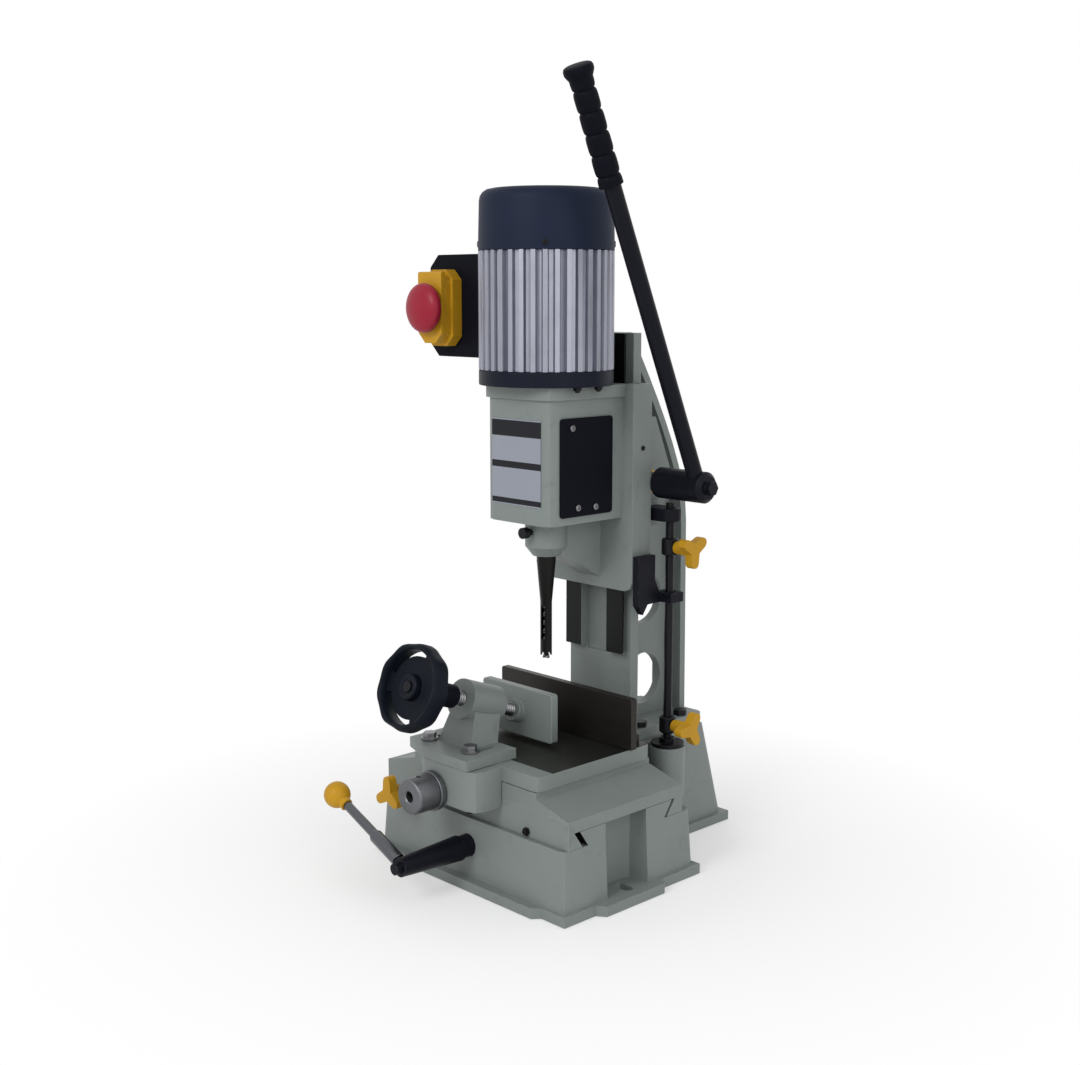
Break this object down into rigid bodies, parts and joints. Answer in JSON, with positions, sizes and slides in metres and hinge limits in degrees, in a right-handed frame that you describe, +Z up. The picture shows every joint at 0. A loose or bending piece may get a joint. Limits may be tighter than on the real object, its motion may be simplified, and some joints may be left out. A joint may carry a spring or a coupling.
{
  "type": "bench hollow chisel mortiser",
  "caption": "Bench hollow chisel mortiser: cast base, dovetail column, lever-fed motor head, cross-slide table with fence and screw vise.",
  "frame": {"origin": "on the chisel's axis at the level of the bench", "axes": "+X to the operator's right, +Y to the back of the machine, +Z up along the chisel's axis"},
  "size_m": [0.2975, 0.4165, 0.7668],
  "materials": {
    "cast_paint": "satin pale grey-green machine enamel on cast iron",
    "bright_steel": "machined steel",
    "dark_steel": "dark oiled steel",
    "black_oxide": "black oxide",
    "black_paint": "satin black paint",
    "black_plastic": "moulded, matt",
    "navy_plastic": "moulded, semi-gloss blue-black",
    "yellow_plastic": "moulded, semi-gloss",
    "red_plastic": "moulded, semi-gloss",
    "green_plastic": "moulded, semi-gloss",
    "bare_aluminium": "extruded or turned, bare",
    "chrome": "polished",
    "brass": "machined"
  },
  "bodies": {
    "stand": {"base_casting": "cast_paint", "column_casting": "cast_paint", "column_bolt_1": "black_oxide", "column_bolt_2": "black_oxide", "column_bolt_3": "black_oxide", "column_bolt_4": "black_oxide", "depth_rod": "black_oxide", "depth_rod_nut": "black_oxide", "depth_rod_arm": "black_paint", "feed_bush": "brass"},
    "head": {"head_casting": "cast_paint", "head_rack": "bright_steel", "head_gib": "bright_steel", "head_stop_arm": "black_paint", "chuck_cover": "black_plastic", "chisel_lock_screw": "black_oxide", "hollow_chisel": "dark_steel", "motor_flange": "black_paint", "motor_bearing": "bright_steel", "motor_frame": "bare_aluminium", "fan_cover": "navy_plastic", "switch_box": "black_plastic", "switch_unit": "yellow_plastic"},
    "spindle": {"auger_bit": "bright_steel", "drill_chuck": "bright_steel", "motor_shaft": "bright_steel", "cooling_fan": "black_plastic"},
    "start_button": {"start_button": "green_plastic"},
    "stop_flap": {"stop_flap": "yellow_plastic"},
    "stop_button": {"stop_button": "red_plastic"},
    "feed_lever": {"feed_gear": "bright_steel", "feed_shaft": "bright_steel", "feed_hub": "black_paint", "feed_lever": "black_paint", "feed_grip": "black_plastic"},
    "upper_stop": {"upper_stop": "black_oxide"},
    "upper_stop_knob": {"upper_stop_knob": "yellow_plastic"},
    "lower_stop": {"lower_stop": "black_oxide"},
    "lower_stop_knob": {"lower_stop_knob": "yellow_plastic"},
    "saddle": {"saddle_casting": "cast_paint", "saddle_gib": "bright_steel", "saddle_rack": "bright_steel", "cross_nut": "brass"},
    "saddle_lock_knob": {"saddle_lock_knob": "yellow_plastic"},
    "traverse_lever": {"traverse_shaft": "bright_steel", "traverse_gear": "bright_steel", "traverse_hub": "black_paint", "traverse_lever": "chrome", "traverse_ball": "yellow_plastic"},
    "table": {"table_casting": "cast_paint", "fence": "dark_steel", "clamp_bracket": "cast_paint", "clamp_bolt_1": "bright_steel", "clamp_bolt_2": "bright_steel"},
    "cross_screw": {"cross_screw": "bright_steel", "cross_hub": "bare_aluminium"},
    "vise_jaw": {"vise_jaw": "cast_paint"},
    "vise_screw": {"vise_screw": "black_oxide", "vise_handwheel": "black_plastic"}
  },
  "joints": [
    {"name": "head_slide", "type": "slide", "parent": "stand", "child": "head", "axis": [0, 0, -1], "range_m": [-0.036, 0.042]},
    {"name": "feed_lever_turn", "type": "hinge", "parent": "stand", "child": "feed_lever", "pos_m": [0, 0.1, 0.382], "axis": [1, 0, 0], "range_deg": [-86, 100.4]},
    {"name": "spindle_turn", "type": "hinge", "parent": "head", "child": "spindle", "pos_m": [0, 0, 0.481], "axis": [0, 0, 1], "continuous": true},
    {"name": "start_button_press", "type": "slide", "parent": "head", "child": "start_button", "axis": [0, 1, 0], "range_m": [0, 0.002], "stiffness_N_per_m": 300},
    {"name": "stop_flap_swing", "type": "hinge", "parent": "head", "child": "stop_flap", "pos_m": [-0.122, -0.0421, 0.5875], "axis": [-1, 0, 0], "range_deg": [0, 70]},
    {"name": "stop_button_press", "type": "slide", "parent": "stop_flap", "child": "stop_button", "axis": [0, 1, 0], "range_m": [0, 0.004], "stiffness_N_per_m": 400},
    {"name": "upper_stop_slide", "type": "slide", "parent": "stand", "child": "upper_stop", "axis": [0, 0, -1], "range_m": [-0.017, 0.03]},
    {"name": "upper_stop_knob_turn", "type": "hinge", "parent": "upper_stop", "child": "upper_stop_knob", "pos_m": [0.0808, 0.103, 0.318], "axis": [1, 0, 0], "range_deg": [-60, 60]},
    {"name": "lower_stop_slide", "type": "slide", "parent": "stand", "child": "lower_stop", "axis": [0, 0, 1], "range_m": [-0.004, 0.07]},
    {"name": "lower_stop_knob_turn", "type": "hinge", "parent": "lower_stop", "child": "lower_stop_knob", "pos_m": [0.0808, 0.103, 0.134], "axis": [1, 0, 0], "range_deg": [-60, 60]},
    {"name": "saddle_slide", "type": "slide", "parent": "stand", "child": "saddle", "axis": [1, 0, 0], "range_m": [-0.0144, 0.0624]},
    {"name": "saddle_lock_turn", "type": "hinge", "parent": "saddle", "child": "saddle_lock_knob", "pos_m": [-0.084, -0.114, 0.0775], "axis": [0, 1, 0], "range_deg": [-60, 60]},
    {"name": "traverse_lever_turn", "type": "hinge", "parent": "stand", "child": "traverse_lever", "pos_m": [0, 0, 0.04], "axis": [0, 1, 0], "range_deg": [-34.5, 149.1]},
    {"name": "table_slide", "type": "slide", "parent": "saddle", "child": "table", "axis": [0, 1, 0], "range_m": [-0.03, 0]},
    {"name": "cross_screw_turn", "type": "hinge", "parent": "table", "child": "cross_screw", "pos_m": [-0.016, -0.133, 0.0985], "axis": [0, 1, 0], "range_deg": [-3601, 1]},
    {"name": "vise_jaw_slide", "type": "slide", "parent": "table", "child": "vise_jaw", "axis": [0, 0.9397, -0.342], "range_m": [-0.022, 0.008]},
    {"name": "vise_screw_turn", "type": "hinge", "parent": "vise_jaw", "child": "vise_screw", "pos_m": [-0.018, -0.097, 0.1815], "axis": [0, 0.9397, -0.342], "range_deg": [-2641, 961]}
  ],
  "couplings": [
    {"joint": "feed_lever_turn", "follows": "head_slide", "rad_per_m": 41.667},
    {"joint": "traverse_lever_turn", "follows": "saddle_slide", "rad_per_m": 41.667},
    {"joint": "cross_screw_turn", "follows": "table_slide", "rad_per_m": 2094.4},
    {"joint": "vise_screw_turn", "follows": "vise_jaw_slide", "rad_per_m": 2094.4}
  ]
}
